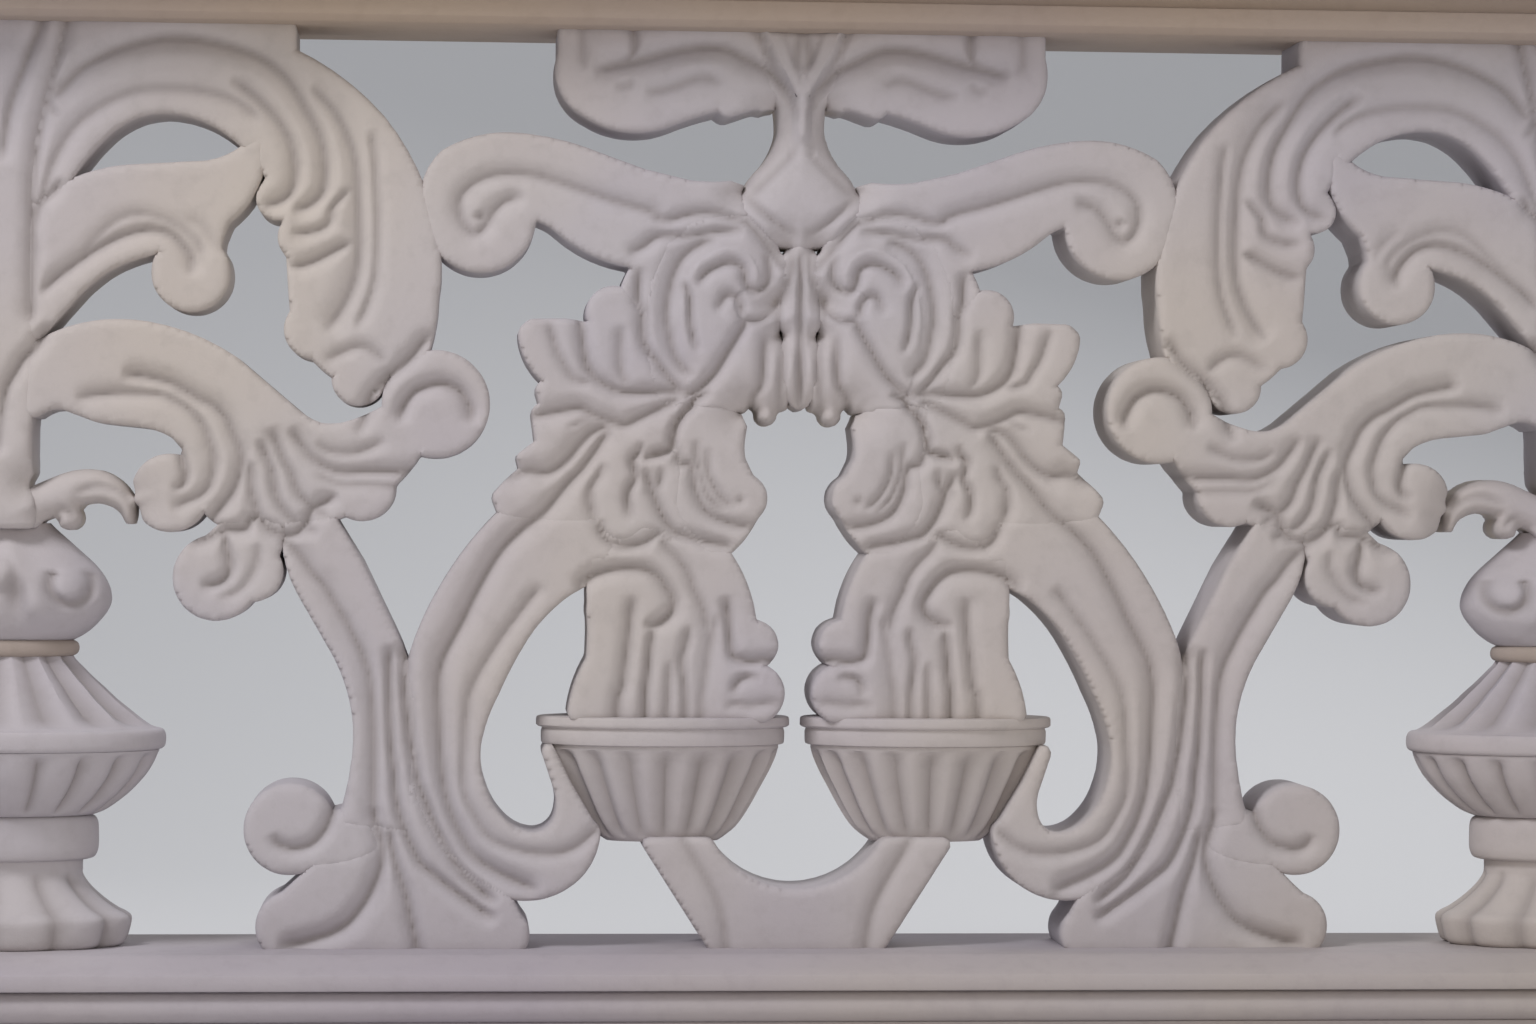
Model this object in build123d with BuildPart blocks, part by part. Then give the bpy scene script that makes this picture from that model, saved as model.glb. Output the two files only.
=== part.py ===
from build123d import *
import math
import os

os.makedirs("parts", exist_ok=True)

# Carved stone openwork screen: three bays between a bottom rail and a coping.
# A hoop bay with two flower baskets stands between two vase bays. Sizes are in
# millimetres. The origin is at the bottom centre, X runs along the screen, the
# front is at -Y and Z is up. The screen is the same to both sides of its centre,
# and each vase bay is the same to both sides of its vase.

# Heights and lengths of the whole screen
bottom_rail_height = 110.0
openwork_height = 680.0
bed_height = 32.0
coping_height = 78.0
vase_axis = 590.0
vase_bay_reach = 400.0

# Depths, front to back
panel_depth = 66.0
rib_rise = 6.0
plate_depth = 52.0
bottom_rail_depth = 200.0
coping_depth = 212.0
bed_depth = 132.0
vase_flatness = 0.56
basket_flatness = 0.52

# Bottom rail mouldings
slope_drop = 12.0
seat_half_depth = 72.0
slab_height = 24.0
torus_height = 24.0
torus_inset = 4.0
recess_height = 10.0
recess_inset = 16.0
plinth_inset = 6.0

# Bed moulding and coping
bed_fillet_height = 20.0
bed_fillet_inset = 10.0
bed_edge = 7.0
coping_throat = 18.0
coping_soffit_rise = 14.0
coping_fascia_height = 36.0
coping_slope = 38.0

# Vases
vase_foot_radius = 98.0
vase_foot_height = 52.0
vase_neck_radius = 62.0
vase_ring_radius = 73.0
vase_ring_base = 64.0
vase_ring_top = 97.0
vase_rim_radius = 122.0
vase_bowl_top = 145.0
vase_rim_height = 16.0
vase_throat_radius = 54.0
collar_base = 214.0
collar_height = 12.0
crown_radius = 82.0
crown_top = 312.0
crown_top_radius = 36.0

# Baskets
basket_axis = 99.0
basket_rim_radius = 95.0
basket_bowl_radius = 87.0
basket_base_radius = 42.0
basket_base_height = 78.0
basket_rim_base = 150.0
basket_rim_height = 21.0

# Bracket under the baskets
bracket_half_base = 62.0
bracket_half_top = 112.0
bracket_inner_half = 66.0
bracket_sill_height = 40.0

# Flutes and gadroons round the vases and baskets
vase_flutes = 20
foot_flutes = 12
basket_flutes = 18
flute_share = 0.06

# How far the raised rib covers a strip of carving, as a share of its width
rib_share = 0.45

# Stem over each vase, from the bed moulding down to the crown: distance from its axis,
# height and width. Its top is as high as the openwork for which all strips are given.
stem_body = [
    (0, 680, 96),
    (0, 640, 74),
    (0, 590, 52),
    (0, 450, 48),
    (0, 380, 42),
    (0, crown_top, 50),
]
drawn_height = stem_body[0][1]

# Distance of the vase's axis for which all strips are given
drawn_vase_axis = 590.0

# Planes and lengths that follow from the sizes above
half_length = vase_axis + vase_bay_reach
screen_top = bottom_rail_height + openwork_height
panel = Plane(origin=(0, 0, bottom_rail_height), x_dir=(1, 0, 0), z_dir=(0, -1, 0))
rail_end = Plane.YZ.offset(-half_length)
rib_depth = panel_depth + 2 * rib_rise
wide = vase_axis / drawn_vase_axis
tall = openwork_height / drawn_height
thick = (wide + tall) / 2

# Edges that bow less than this are drawn straight
least_bow = 0.8


def smooth_edge(points):
    """A smooth line through the points, as one arc or straight run between each two."""
    guide = Edge.make_spline(points)
    for start, end in zip(points, points[1:]):
        halfway = (guide.param_at_point(start) + guide.param_at_point(end)) / 2
        middle = guide.position_at(halfway)
        if (middle - (start + end) / 2).length > least_bow:
            ThreePointArc(start, middle, end)
        else:
            Line(start, end)


def band(stations, origin=0.0, side=1, share=1.0):
    """A strip of stone along a smooth spine; each station is (x, z, width)."""
    points = [Vector(origin + side * wide * x, tall * z) for x, z, width in stations]
    spine = Edge.make_spline(points)
    left = []
    right = []
    for point, station in zip(points, stations):
        across = spine.tangent_at(point).rotate(Axis.Z, 90) * (share * thick * station[2] / 2)
        left.append(point + across)
        right.append(point - across)
    with BuildLine() as rim:
        smooth_edge(left)
        Line(left[-1], right[-1])
        smooth_edge(right)
        Line(right[0], left[0])
    make_face(rim.edges())


def vein(start, end, width):
    """A straight ridge of stone that runs out to a point."""
    root = Vector(wide * start[0], tall * start[1])
    tip = Vector(wide * end[0], tall * end[1])
    across = (tip - root).normalized().rotate(Axis.Z, 90) * (thick * width / 2)
    with BuildLine() as rim:
        Polyline(root + across, tip, root - across, close=True)
    make_face(rim.edges())


def vase_band(stations, share=1.0):
    """A strip whose stations are measured from the vase's axis."""
    band(stations, vase_axis, -1, share)


def curl(x, z, radius, origin=0.0, side=1):
    """A round curl of the carving."""
    with Locations((origin + side * wide * x, tall * z)):
        Circle(thick * radius)


def vase_curl(x, z, radius):
    """A round curl, measured from the vase's axis."""
    curl(x, z, radius, vase_axis, -1)


def turned(centre, levels, flatness, flutes, share=0.0):
    """A turned body, flattened front to back, on both sides of the screen's centre.

    Each level is (height, radius), and share is how much of the radius the flutes cut away."""
    sections = []
    for height, radius in levels:
        corners = []
        for step in range(2 * flutes):
            angle = math.pi * (step + flutes / 2) / flutes
            reach = wide * radius * (1 - share * (step % 2))
            corners.append((reach * math.cos(angle), flatness * reach * math.sin(angle)))
        with BuildSketch(Plane((centre, 0, bottom_rail_height + tall * height))) as section:
            with BuildLine() as rim:
                Polyline(*corners, close=True)
            make_face(rim.edges())
        sections.append(section.sketch)
    loft(sections=sections, ruled=True)
    mirror(about=Plane.YZ)


def turned_outline(centre, levels):
    """The shape of a turned body seen from the front, lowest level first."""
    right = [(centre + wide * radius, tall * height) for height, radius in levels]
    left = [(centre - wide * radius, tall * height) for height, radius in reversed(levels)]
    with BuildLine() as rim:
        Polyline(*right, *left, close=True)
    make_face(rim.edges())


def clear_of(*outlines):
    """Cuts the open sketch back to the edges of the pieces in front of it."""
    for outline in outlines:
        add(outline.sketch_local, mode=Mode.SUBTRACT)


def between_rails():
    """Keeps the open sketch between the top of the bottom rail and the bed moulding."""
    with Locations((0, openwork_height / 2)):
        Rectangle(2 * half_length, openwork_height, mode=Mode.INTERSECT)


def within(outline):
    """Keeps the open sketch inside the outline of the piece that it is carved on."""
    add(outline.sketch_local, mode=Mode.INTERSECT)


def four_sides():
    """Repeats one side of one vase on both sides of both vases."""
    mirror(about=Plane.YZ.offset(vase_axis))
    mirror(about=Plane.YZ)


def finish(name, piece):
    """Labels a piece and writes it out."""
    piece.part.label = name
    export_step(piece.part, "parts/" + name + ".step")


# Bottom rail: a plinth with a recess above it, then a torus under a sloped slab
plinth_top = bottom_rail_height - slab_height - torus_height
rail_half = bottom_rail_depth / 2

with BuildPart() as bottom_plinth:
    with BuildSketch(rail_end):
        with BuildLine():
            Polyline(
                (0, 0),
                (rail_half - plinth_inset, 0),
                (rail_half - plinth_inset, plinth_top - recess_height),
                (rail_half - recess_inset, plinth_top - recess_height),
                (rail_half - recess_inset, plinth_top),
                (0, plinth_top),
                close=True,
            )
        make_face()
        mirror(about=Plane.YZ)
    extrude(amount=2 * half_length)

with BuildPart() as bottom_slab:
    with BuildSketch(rail_end):
        slab_base = bottom_rail_height - slab_height
        torus_flat = rail_half - torus_inset - torus_height / 2
        with BuildLine():
            Line((0, plinth_top), (torus_flat, plinth_top))
            ThreePointArc(
                (torus_flat, plinth_top),
                (rail_half - torus_inset, plinth_top + torus_height / 2),
                (torus_flat, slab_base),
            )
            Polyline(
                (torus_flat, slab_base),
                (rail_half, slab_base),
                (rail_half, bottom_rail_height - slope_drop),
                (seat_half_depth, bottom_rail_height),
                (0, bottom_rail_height),
                (0, plinth_top),
            )
        make_face()
        mirror(about=Plane.YZ)
    extrude(amount=2 * half_length)

# Coping, on the bed moulding that the openwork is carved up to
bed_half = bed_depth / 2
coping_base = screen_top + bed_height
coping_half = coping_depth / 2

with BuildPart() as bed_moulding:
    with BuildSketch(rail_end):
        with BuildLine():
            Polyline(
                (0, screen_top),
                (bed_half - bed_edge, screen_top),
                (bed_half, screen_top + bed_edge),
                (bed_half, screen_top + bed_fillet_height),
                (bed_half - bed_fillet_inset, screen_top + bed_fillet_height),
                (bed_half - bed_fillet_inset, coping_base),
                (0, coping_base),
                close=True,
            )
        make_face()
        mirror(about=Plane.YZ)
    extrude(amount=2 * half_length)

with BuildPart() as coping:
    with BuildSketch(rail_end):
        fascia_base = coping_base + coping_soffit_rise
        fascia_top = fascia_base + coping_fascia_height
        with BuildLine():
            Polyline(
                (0, coping_base),
                (bed_half, coping_base),
                (bed_half + coping_throat, fascia_base),
                (coping_half, fascia_base),
                (coping_half, fascia_top),
                (coping_half - coping_slope, coping_base + coping_height),
                (0, coping_base + coping_height),
                close=True,
            )
        make_face()
        mirror(about=Plane.YZ)
    extrude(amount=2 * half_length)

# Vases, turned about their upright axes and flattened front to back
rim_top = vase_bowl_top + vase_rim_height
collar_top = collar_base + collar_height
crown_height = crown_top - collar_top
bowl_height = vase_bowl_top - vase_ring_top
shoulder_height = collar_base - rim_top

foot_levels = [
    (0, vase_foot_radius - 6),
    (0.4 * vase_foot_height, vase_foot_radius + 2),
    (0.7 * vase_foot_height, vase_foot_radius - 16),
    (vase_foot_height, vase_neck_radius),
    (vase_ring_base, vase_neck_radius),
]
ring_levels = [
    (vase_ring_base, vase_ring_radius - 3),
    ((vase_ring_base + vase_ring_top) / 2, vase_ring_radius),
    (vase_ring_top, vase_ring_radius - 3),
]
bowl_levels = [
    (vase_ring_top, vase_ring_radius),
    (vase_ring_top + 0.2 * bowl_height, vase_ring_radius + 16),
    (vase_ring_top + 0.5 * bowl_height, vase_ring_radius + 32),
    (vase_bowl_top, vase_rim_radius - 4),
]
rim_levels = [
    (vase_bowl_top, vase_rim_radius - 3),
    (vase_bowl_top + 0.5 * vase_rim_height, vase_rim_radius),
    (rim_top, vase_rim_radius - 4),
]
shoulder_levels = [
    (rim_top, vase_rim_radius - 8),
    (rim_top + 0.25 * shoulder_height, vase_rim_radius - 22),
    (rim_top + 0.6 * shoulder_height, vase_throat_radius + 24),
    (collar_base, vase_throat_radius),
]
collar_levels = [
    (collar_base, vase_throat_radius),
    (collar_base + 0.5 * collar_height, vase_throat_radius + 4),
    (collar_top, vase_throat_radius),
]
crown_levels = [
    (collar_top, vase_throat_radius),
    (collar_top + 0.12 * crown_height, crown_radius - 14),
    (collar_top + 0.36 * crown_height, crown_radius),
    (collar_top + 0.55 * crown_height, crown_radius - 5),
    (collar_top + 0.75 * crown_height, crown_radius - 23),
    (crown_top, crown_top_radius),
]

with BuildPart() as vase_feet:
    turned(vase_axis, foot_levels, vase_flatness, foot_flutes, flute_share)

with BuildPart() as vase_rings:
    turned(vase_axis, ring_levels, vase_flatness, vase_flutes)

with BuildPart() as vase_bowls:
    turned(vase_axis, bowl_levels, vase_flatness, vase_flutes, flute_share)

with BuildPart() as vase_rims:
    turned(vase_axis, rim_levels, vase_flatness, vase_flutes)

with BuildPart() as vase_shoulders:
    turned(vase_axis, shoulder_levels, vase_flatness, vase_flutes, flute_share)

with BuildPart() as vase_collars:
    turned(vase_axis, collar_levels, vase_flatness, vase_flutes)

with BuildPart() as vase_crowns:
    turned(vase_axis, crown_levels, vase_flatness, vase_flutes)

with BuildSketch(panel) as crown_outline:
    turned_outline(vase_axis, crown_levels)

# Stem that rises from each vase's crown to the bed moulding
with BuildPart() as vase_stems:
    with BuildSketch(panel) as stem_outline:
        vase_band(stem_body)
    extrude(amount=panel_depth / 2, both=True)
    mirror(about=Plane.YZ)

# Tongue: an upturned leaf with a curl under its tip
tongue_body = [
    (0, 470, 70),
    (30, 505, 70),
    (60, 528, 66),
    (95, 541, 62),
    (125, 546, 56),
    (160, 558, 40),
    (188, 594, 4),
]

with BuildPart() as tongue_scrolls:
    with BuildSketch(panel) as tongue_outline:
        vase_band(tongue_body)
        vase_band([(148, 548, 40), (142, 527, 36), (140, 503, 38)])
        vase_curl(140, 497, 25)
        clear_of(stem_outline)
    extrude(amount=panel_depth / 2, both=True)
    with BuildSketch(panel):
        vase_band(tongue_body[::2], rib_share)
        within(tongue_outline)
    extrude(amount=rib_depth / 2, both=True)
    four_sides()

# Long S-scroll that springs from the stem and ends in the outer volute
s_scroll_body = [
    (10, 405, 40),
    (45, 424, 50),
    (75, 424, 68),
    (105, 422, 70),
    (151, 405, 68),
    (190, 363, 82),
    (238, 351, 66),
    (275, 366, 50),
    (302, 392, 30),
]

with BuildPart() as s_scrolls:
    with BuildSketch(panel) as s_scroll_outline:
        vase_band(s_scroll_body)
        vase_curl(320, 402, 36)
        vase_band([(176, 386, 50), (160, 362, 44), (146, 340, 34)])
        vase_curl(126, 335, 25)
        vase_curl(172, 335, 22)
        vase_curl(206, 338, 22)
        vase_curl(266, 340, 21)
        clear_of(stem_outline, crown_outline)
    extrude(amount=panel_depth / 2, both=True)
    with BuildSketch(panel):
        vase_band(s_scroll_body[::2], rib_share)
        within(s_scroll_outline)
    extrude(amount=rib_depth / 2, both=True)
    four_sides()

# Arched acanthus leaf that hangs over the tongue, with four turned-over lobes
arch_body = [
    (30, 548, 22),
    (54, 616, 56),
    (88, 645, 66),
    (132, 649, 64),
    (188, 631, 72),
    (240, 585, 92),
    (264, 526, 104),
    (267, 474, 102),
    (276, 440, 70),
]

with BuildPart() as arch_leaves:
    with BuildSketch(panel) as arch_outline:
        vase_band(arch_body)
        vase_band([(30, 664, 32), (212, 664, 32)])
        vase_band([(225, 575, 40), (203, 552, 24)])
        vase_curl(203, 552, 12)
        vase_band([(245, 545, 46), (222, 524, 30)])
        vase_curl(222, 524, 15)
        vase_band([(255, 490, 54), (230, 456, 36)])
        vase_curl(230, 456, 18)
        vase_band([(282, 470, 52), (263, 422, 32)])
        vase_curl(263, 420, 16)
        vase_band([(290, 490, 56), (293, 452, 42), (288, 425, 30)])
        clear_of(stem_outline, tongue_outline, s_scroll_outline)
        between_rails()
    extrude(amount=panel_depth / 2, both=True)
    with BuildSketch(panel):
        vase_band(arch_body[::2], rib_share)
        within(arch_outline)
    extrude(amount=rib_depth / 2, both=True)
    four_sides()

# Small hooked leaf over the vase's crown
with BuildPart() as hook_leaves:
    with BuildSketch(panel) as hook_outline:
        vase_band([(12, 321, 24), (45, 334, 27), (72, 339, 25), (91, 328, 16), (95, 312, 6)])
        vase_curl(52, 316, 9)
        clear_of(stem_outline, s_scroll_outline, crown_outline)
    extrude(amount=plate_depth / 2, both=True)
    four_sides()

# Round curl that hangs from the S-scroll
with BuildPart() as hanging_curls:
    with BuildSketch(panel) as hanging_outline:
        vase_band([(192, 316, 34), (181, 296, 44), (164, 276, 50)])
        vase_curl(160, 273, 28)
        vase_curl(186, 278, 19)
        clear_of(s_scroll_outline)
    extrude(amount=panel_depth / 2, both=True)
    four_sides()

# Arm that runs from the S-scroll down to the foot
foot_arm_body = [
    (226, 318, 30),
    (243, 274, 46),
    (269, 225, 42),
    (284, 180, 42),
    (284, 140, 40),
    (278, 90, 50),
]

with BuildPart() as foot_arms:
    with BuildSketch(panel) as foot_arm_outline:
        vase_band(foot_arm_body)
        clear_of(s_scroll_outline, hanging_outline)
    extrude(amount=panel_depth / 2, both=True)
    with BuildSketch(panel):
        vase_band(foot_arm_body[::2], rib_share)
        within(foot_arm_outline)
    extrude(amount=rib_depth / 2, both=True)
    four_sides()

# Ball curl beside the arm, over the rail
with BuildPart() as ball_curls:
    with BuildSketch(panel) as ball_outline:
        vase_curl(215, 88, 30)
        vase_band([(215, 80, 28), (245, 80, 34), (275, 88, 30)])
        clear_of(foot_arm_outline)
    extrude(amount=panel_depth / 2, both=True)
    four_sides()

# Middle stem of the hoop bay, which widens into a plain plate between the arms
with BuildPart() as centre_stem:
    with BuildSketch(panel) as centre_outline:
        band([
            (0, drawn_height, 62),
            (0, 645, 50),
            (0, 607, 36),
            (0, 582, 60),
            (0, 555, 92),
            (0, 535, 70),
            (0, 520, 26),
        ])
    extrude(amount=plate_depth / 2, both=True)
    with BuildSketch(panel):
        vein((0, 590), (0, 648), 16)
        vein((40, drawn_height), (3, 622), 18)
        mirror(about=Plane.YZ)
        within(centre_outline)
    extrude(amount=panel_depth / 2, both=True)

# Pair of ribs on the centre line, under the plate
with BuildPart() as centre_rib:
    with BuildSketch(panel) as rib_outline:
        band([(0, 525, 22), (0, 470, 26), (0, 402, 14)])
        clear_of(centre_outline)
    extrude(amount=panel_depth / 2, both=True)

# Heart-shaped pair of C-scrolls
heart_ring = [
    (92, 408, 26),
    (103, 460, 24),
    (92, 508, 24),
    (62, 532, 24),
    (30, 522, 22),
    (22, 490, 18),
    (34, 474, 16),
]

with BuildPart() as heart_scrolls:
    with BuildSketch(panel) as heart_outline:
        band([(68, 400, 56), (62, 470, 96), (60, 524, 78)])
        band(heart_ring)
        band([(19, 455, 24), (20, 420, 28), (20, 399, 24)])
        curl(24, 396, 8)
        clear_of(centre_outline, rib_outline)
    extrude(amount=plate_depth / 2, both=True)
    with BuildSketch(panel):
        band(heart_ring, 0.0, 1, 0.8)
        curl(38, 478, 9)
        within(heart_outline)
    extrude(amount=rib_depth / 2, both=True)
    mirror(about=Plane.YZ)

# Leaf that hangs inside the hoop, beside the middle opening
leaf_curl_body = [
    (58, 425, 44),
    (69, 382, 50),
    (67, 358, 46),
    (62, 334, 60),
    (62, 312, 44),
    (62, 294, 14),
]

with BuildPart() as leaf_curls:
    with BuildSketch(panel) as leaf_outline:
        band(leaf_curl_body)
        curl(43, 334, 15)
        clear_of(heart_outline, rib_outline)
    extrude(amount=panel_depth / 2, both=True)
    with BuildSketch(panel):
        band(leaf_curl_body[::2], 0.0, 1, rib_share)
        within(leaf_outline)
    extrude(amount=rib_depth / 2, both=True)
    mirror(about=Plane.YZ)

# Acanthus fan on the hoop's shoulder, one strip for each lobe
acanthus_lobes = [
    [(100, 415, 40), (124, 448, 42), (139, 468, 36)],
    [(105, 408, 44), (155, 432, 56), (185, 445, 40), (203, 459, 8)],
    [(90, 400, 40), (155, 410, 42), (190, 404, 22)],
    [(112, 390, 46), (158, 388, 44), (194, 384, 28)],
    [(120, 370, 56), (168, 362, 46), (204, 353, 20)],
    [(130, 350, 60), (180, 341, 50), (222, 327, 14)],
    [(112, 380, 40), (126, 345, 40), (133, 320, 32)],
    [(92, 398, 40), (98, 350, 50), (112, 312, 44)],
]

with BuildPart() as acanthus_fans:
    with BuildSketch(panel) as acanthus_outline:
        for lobe in acanthus_lobes:
            band(lobe)
        curl(139, 470, 17)
        curl(133, 319, 16)
        clear_of(heart_outline, leaf_outline)
    extrude(amount=panel_depth / 2, both=True)
    with BuildSketch(panel):
        for lobe in acanthus_lobes[:-1]:
            vein(lobe[0], lobe[-1], 16)
        within(acanthus_outline)
    extrude(amount=rib_depth / 2, both=True)
    mirror(about=Plane.YZ)

# Baskets under the drapery, turned and then flattened
basket_rim_top = basket_rim_base + basket_rim_height
basket_height = basket_rim_base - basket_base_height
basket_levels = [
    (basket_base_height, basket_base_radius),
    (basket_base_height + 0.2 * basket_height, basket_base_radius + 14),
    (basket_base_height + 0.6 * basket_height, basket_bowl_radius - 14),
    (basket_rim_base, basket_bowl_radius),
]
basket_rim_levels = [
    (basket_rim_base, basket_rim_radius - 4),
    (basket_rim_base + 0.5 * basket_rim_height, basket_rim_radius),
    (basket_rim_top, basket_rim_radius - 4),
]

with BuildPart() as basket_bowls:
    turned(wide * basket_axis, basket_levels, basket_flatness, basket_flutes, flute_share)

with BuildPart() as basket_rims:
    turned(wide * basket_axis, basket_rim_levels, basket_flatness, basket_flutes)

# Bowl and rim together, seen from the front
with BuildSketch(panel) as basket_outline:
    turned_outline(wide * basket_axis, basket_levels + basket_rim_levels)

# Drapery that falls from the hoop's shoulder into the basket
plume_folds = [
    [(82, 292, 44), (76, 245, 84), (88, 205, 124), (95, basket_rim_top, 144), (95, basket_rim_base, 144)],
    [(96, 312, 58), (98, 288, 82), (112, 262, 86)],
    [(122, 284, 66), (128, 232, 50), (128, basket_rim_top, 60)],
]

with BuildPart() as basket_plumes:
    with BuildSketch(panel) as plume_outline:
        for fold in plume_folds:
            band(fold)
        curl(124, 250, 30)
        curl(34, 225, 15)
        curl(33, 189, 19)
        clear_of(leaf_outline, acanthus_outline, basket_outline)
    extrude(amount=panel_depth / 2, both=True)
    with BuildSketch(panel):
        for foot, tip in ((58, (66, 278)), (92, (89, 284)), (126, (113, 272))):
            vein((foot, basket_rim_top), tip, 18)
        within(plume_outline)
    extrude(amount=rib_depth / 2, both=True)
    mirror(about=Plane.YZ)

# Hoop arm: from the shoulder out to the foot and back under the basket
hoop_body = [
    (138, 332, 76),
    (162, 316, 80),
    (196, 293, 74),
    (233, 249, 68),
    (256, 200, 64),
    (265, 150, 52),
    (255, 106, 46),
    (234, 76, 44),
    (205, 61, 44),
    (176, 69, 38),
    (164, 92, 28),
    (171, 122, 14),
    (184, 148, 6),
]

with BuildPart() as hoop_arms:
    with BuildSketch(panel) as hoop_outline:
        band(hoop_body)
        clear_of(heart_outline, leaf_outline, acanthus_outline, plume_outline)
        clear_of(basket_outline, foot_arm_outline)
    extrude(amount=panel_depth / 2, both=True)
    with BuildSketch(panel):
        band(hoop_body[:-3:2], 0.0, 1, rib_share)
        within(hoop_outline)
    extrude(amount=rib_depth / 2, both=True)
    mirror(about=Plane.YZ)

# Fan-shaped foot under the place where the two arms meet
foot_petals = [
    [(286, 118, 30), (258, 62, 36), (216, 16, 40)],
    [(288, 110, 34), (277, 60, 48), (272, 14, 60)],
    [(296, 110, 34), (312, 60, 50), (332, 14, 56)],
    [(300, 120, 30), (336, 60, 44), (371, 10, 32)],
]
petal_ends = [(216, 16, 22), (272, 14, 32), (332, 14, 30), (371, 10, 17)]

with BuildPart() as fan_feet:
    with BuildSketch(panel) as foot_outline:
        for petal in foot_petals:
            vase_band(petal)
        for x, z, radius in petal_ends:
            vase_curl(x, z, radius)
        vase_band([(218, 7, 16), (368, 7, 16)])
        clear_of(foot_arm_outline, hoop_outline, ball_outline)
        between_rails()
    extrude(amount=panel_depth / 2, both=True)
    with BuildSketch(panel):
        for petal in foot_petals:
            vase_band([petal[0], petal[2]], 0.3)
        within(foot_outline)
    extrude(amount=rib_depth / 2, both=True)
    four_sides()

# Top arm that reaches out to the arch leaf of the next bay
top_arm_body = [
    (30, 560, 24),
    (80, 548, 38),
    (122, 541, 66),
    (166, 559, 60),
    (210, 571, 56),
    (240, 564, 66),
    (240, 542, 72),
]

with BuildPart() as top_arms:
    with BuildSketch(panel) as top_arm_outline:
        band(top_arm_body)
        curl(238, 540, 37)
        band([(85, 520, 30), (106, 498, 36), (119, 472, 30)])
        clear_of(centre_outline, heart_outline, acanthus_outline, arch_outline)
    extrude(amount=panel_depth / 2, both=True)
    with BuildSketch(panel):
        band(top_arm_body[:-2], 0.0, 1, rib_share)
        within(top_arm_outline)
    extrude(amount=rib_depth / 2, both=True)
    mirror(about=Plane.YZ)

# Rolled leaf under the bed moulding, with a hook beside the stem
top_leaf_body = [(8, 645, 50), (50, 653, 50), (100, 648, 68), (146, 651, 72)]

with BuildPart() as top_leaves:
    with BuildSketch(panel) as top_leaf_outline:
        band(top_leaf_body)
        curl(144, 651, 36)
        band([(30, 650, 46), (48, 638, 30), (61, 624, 12)])
        band([(20, 664, 32), (178, 664, 32)])
        clear_of(centre_outline)
        between_rails()
    extrude(amount=panel_depth / 2, both=True)
    with BuildSketch(panel):
        band(top_leaf_body, 0.0, 1, rib_share)
        within(top_leaf_outline)
    extrude(amount=rib_depth / 2, both=True)
    mirror(about=Plane.YZ)

# Bracket that carries both baskets on the rail
with BuildPart() as foot_bracket:
    with BuildSketch(panel):
        with BuildLine():
            Polyline(
                (wide * bracket_inner_half, tall * basket_base_height),
                (wide * bracket_half_top, tall * basket_base_height),
                (wide * bracket_half_base, 0),
                (-wide * bracket_half_base, 0),
                (-wide * bracket_half_top, tall * basket_base_height),
                (-wide * bracket_inner_half, tall * basket_base_height),
            )
            ThreePointArc(
                (-wide * bracket_inner_half, tall * basket_base_height),
                (0, tall * bracket_sill_height),
                (wide * bracket_inner_half, tall * basket_base_height),
            )
        make_face()
    extrude(amount=panel_depth / 2, both=True)

pieces = {
    "bottom_plinth": bottom_plinth,
    "bottom_slab": bottom_slab,
    "bed_moulding": bed_moulding,
    "coping": coping,
    "vase_feet": vase_feet,
    "vase_rings": vase_rings,
    "vase_bowls": vase_bowls,
    "vase_rims": vase_rims,
    "vase_shoulders": vase_shoulders,
    "vase_collars": vase_collars,
    "vase_crowns": vase_crowns,
    "vase_stems": vase_stems,
    "tongue_scrolls": tongue_scrolls,
    "s_scrolls": s_scrolls,
    "arch_leaves": arch_leaves,
    "hook_leaves": hook_leaves,
    "hanging_curls": hanging_curls,
    "foot_arms": foot_arms,
    "ball_curls": ball_curls,
    "fan_feet": fan_feet,
    "centre_stem": centre_stem,
    "centre_rib": centre_rib,
    "heart_scrolls": heart_scrolls,
    "leaf_curls": leaf_curls,
    "acanthus_fans": acanthus_fans,
    "basket_bowls": basket_bowls,
    "basket_rims": basket_rims,
    "basket_plumes": basket_plumes,
    "hoop_arms": hoop_arms,
    "top_arms": top_arms,
    "top_leaves": top_leaves,
    "foot_bracket": foot_bracket,
}
for name, piece in pieces.items():
    finish(name, piece)
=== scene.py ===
import math

import bpy
import numpy as np
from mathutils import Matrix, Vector
from mathutils.bvhtree import BVHTree


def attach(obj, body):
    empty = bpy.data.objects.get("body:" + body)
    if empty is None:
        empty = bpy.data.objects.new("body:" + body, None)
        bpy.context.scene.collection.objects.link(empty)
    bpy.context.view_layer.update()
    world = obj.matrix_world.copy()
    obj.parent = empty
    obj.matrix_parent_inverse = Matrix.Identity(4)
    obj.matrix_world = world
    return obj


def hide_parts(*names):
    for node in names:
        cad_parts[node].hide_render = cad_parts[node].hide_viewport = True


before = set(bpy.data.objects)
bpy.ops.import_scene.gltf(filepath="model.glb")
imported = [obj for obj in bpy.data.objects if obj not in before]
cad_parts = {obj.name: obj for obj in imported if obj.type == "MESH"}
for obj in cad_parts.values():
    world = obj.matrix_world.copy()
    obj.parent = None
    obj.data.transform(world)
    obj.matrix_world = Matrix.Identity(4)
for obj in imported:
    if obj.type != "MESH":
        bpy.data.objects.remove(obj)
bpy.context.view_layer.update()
bpy.ops.object.select_all(action="DESELECT")

# Plinth of the bottom rail: a long block of pale lilac stone, bedded in mortar on what carries
# the screen. It is cut to one moulding from end to end, with a recess under its top and worn
# arrises.
HALF_LENGTH = 0.990
MOULDING_CUTS = 66
HAIR = 0.00005


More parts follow.
